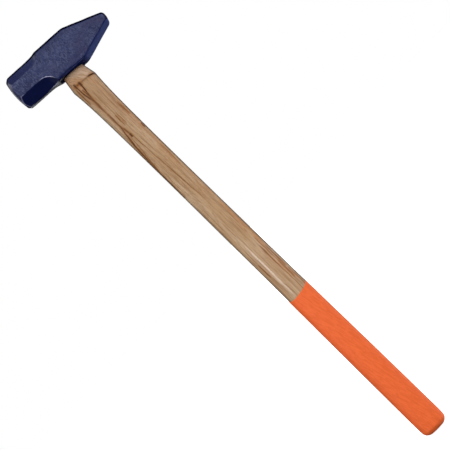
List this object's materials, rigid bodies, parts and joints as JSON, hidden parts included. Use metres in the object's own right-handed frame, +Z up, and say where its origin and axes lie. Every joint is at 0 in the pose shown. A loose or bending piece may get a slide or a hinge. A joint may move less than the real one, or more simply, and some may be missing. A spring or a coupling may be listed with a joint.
{
  "type": "cross peen sledge hammer",
  "caption": "Long-handled cross peen sledge hammer: blue-painted forged head wedged on a hickory handle with an orange-dipped grip, for striking and forging metal.",
  "frame": {"origin": "centre of the eye in the head's top face, where the handle's axis comes out flush", "axes": "+Z up along the handle's axis away from the grip, -X towards the striking face, +X towards the peen, +Y along the peen's edge"},
  "size_m": [0.2021, 0.0594, 0.9172],
  "materials": {
    "painted_steel": "semi-gloss dark blue paint over rough forged steel",
    "hickory": "straight-grained hickory under satin lacquer",
    "wedge_wood": "bare sawn hardwood, end grain on top",
    "wedge_steel": "bare rolled steel with barbed faces",
    "dipped_coating": "thin matt orange dip coating that follows the wood's surface"
  },
  "bodies": {
    "root": {"hammer_head": "painted_steel", "handle": "hickory", "wooden_wedge": "wedge_wood", "steel_wedge_face_side": "wedge_steel", "steel_wedge_peen_side": "wedge_steel", "grip_coating": "dipped_coating"}
  },
  "joints": []
}
